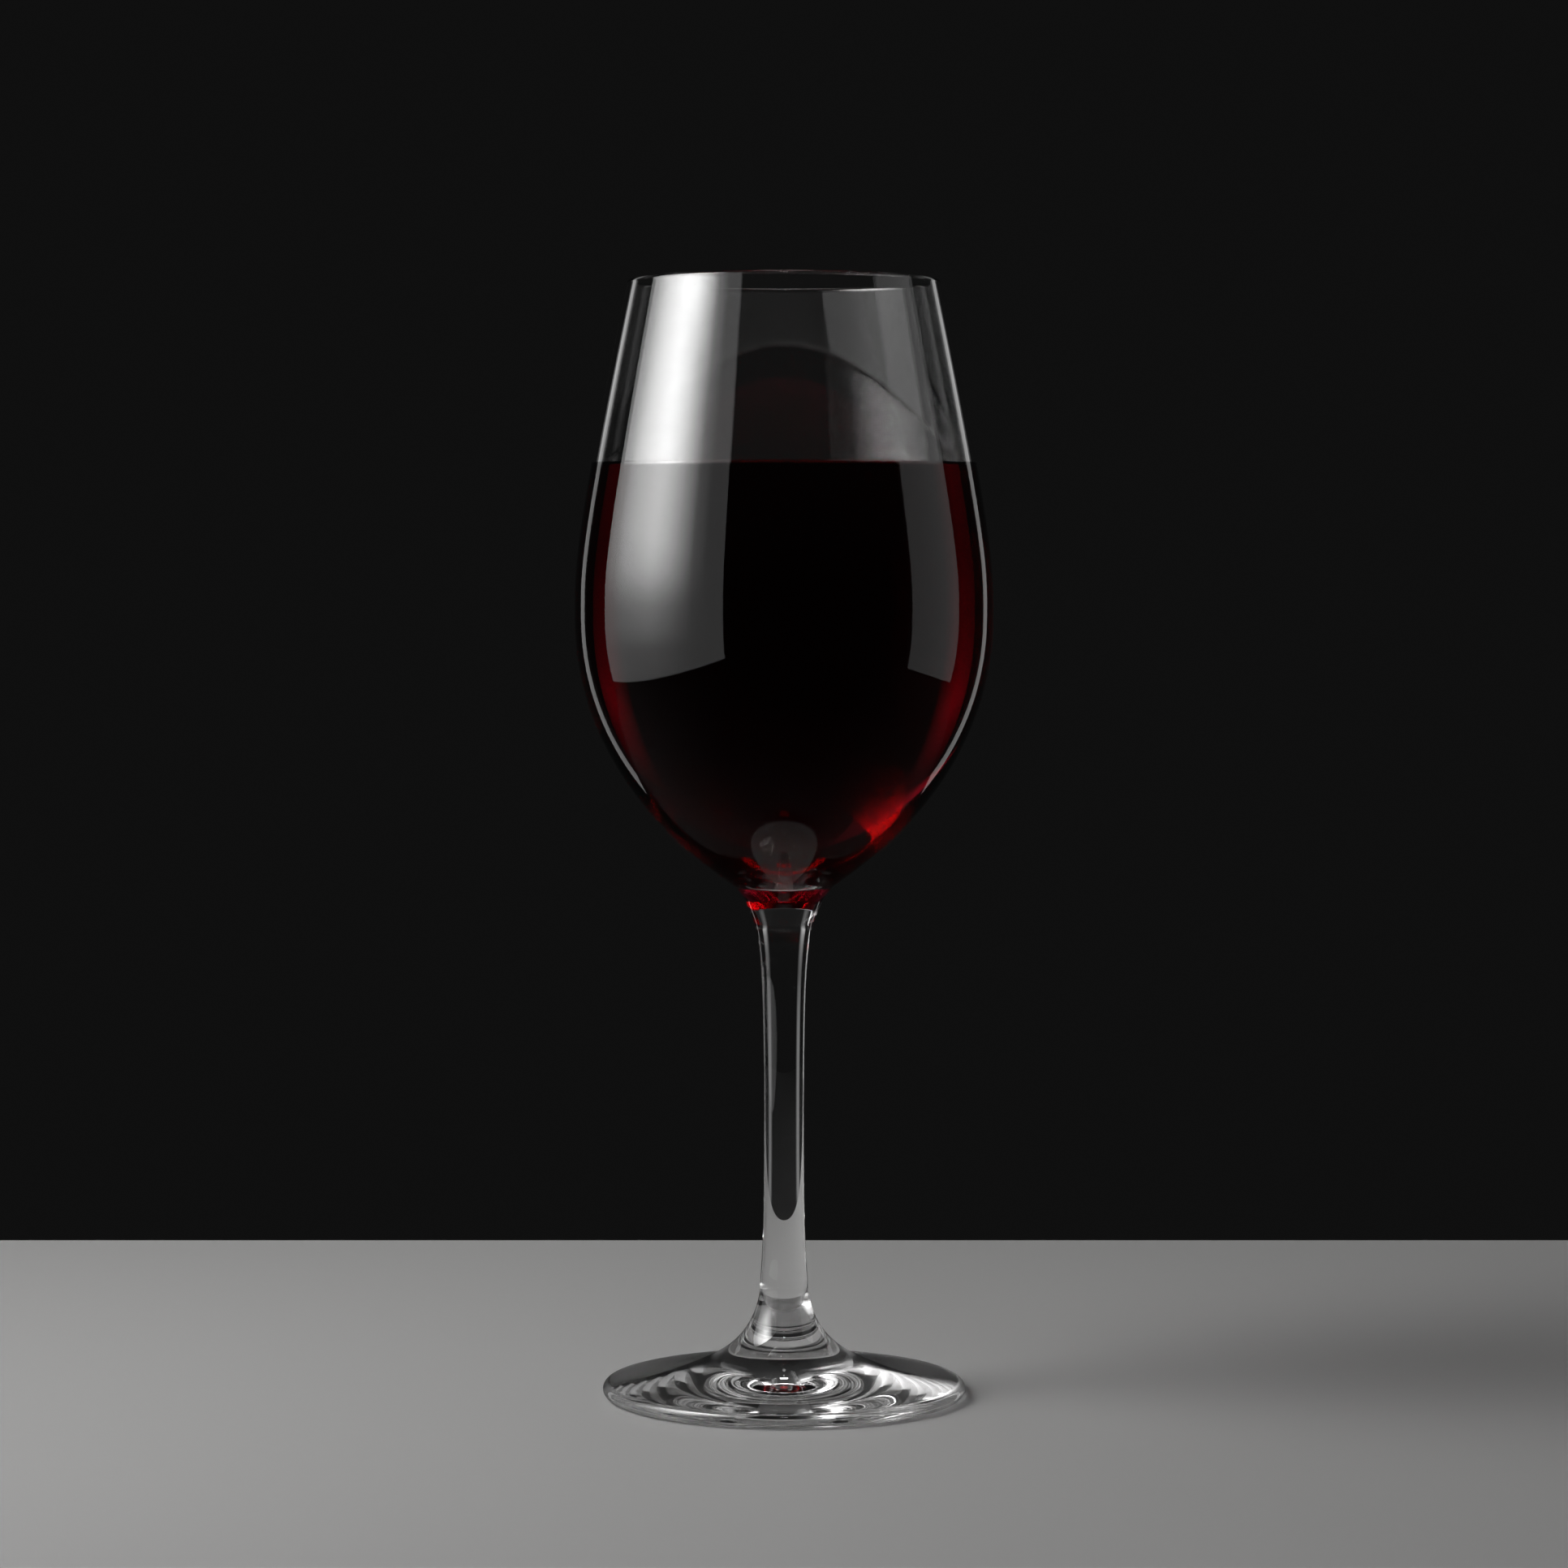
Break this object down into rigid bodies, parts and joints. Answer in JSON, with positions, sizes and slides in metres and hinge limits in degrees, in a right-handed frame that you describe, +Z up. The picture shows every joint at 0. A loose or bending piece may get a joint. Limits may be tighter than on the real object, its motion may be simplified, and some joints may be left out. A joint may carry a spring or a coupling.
{
  "type": "glass of red wine",
  "caption": "Stemmed wine glass with a tall tulip bowl, a slim drawn stem and a round foot, holding red wine to well above the belly of the bowl.",
  "frame": {"origin": "centre of the foot on the surface the glass stands on", "axes": "+Z up along the axis of the glass; the glass is round, so +X and +Y are free, and -Y is the side seen in the picture"},
  "size_m": [0.083, 0.083, 0.222],
  "materials": {
    "glass": "clear, colourless, fire polished",
    "wine": "deep red liquid with a still surface"
  },
  "bodies": {
    "root": {"glass": "glass", "wine": "wine"}
  },
  "joints": []
}
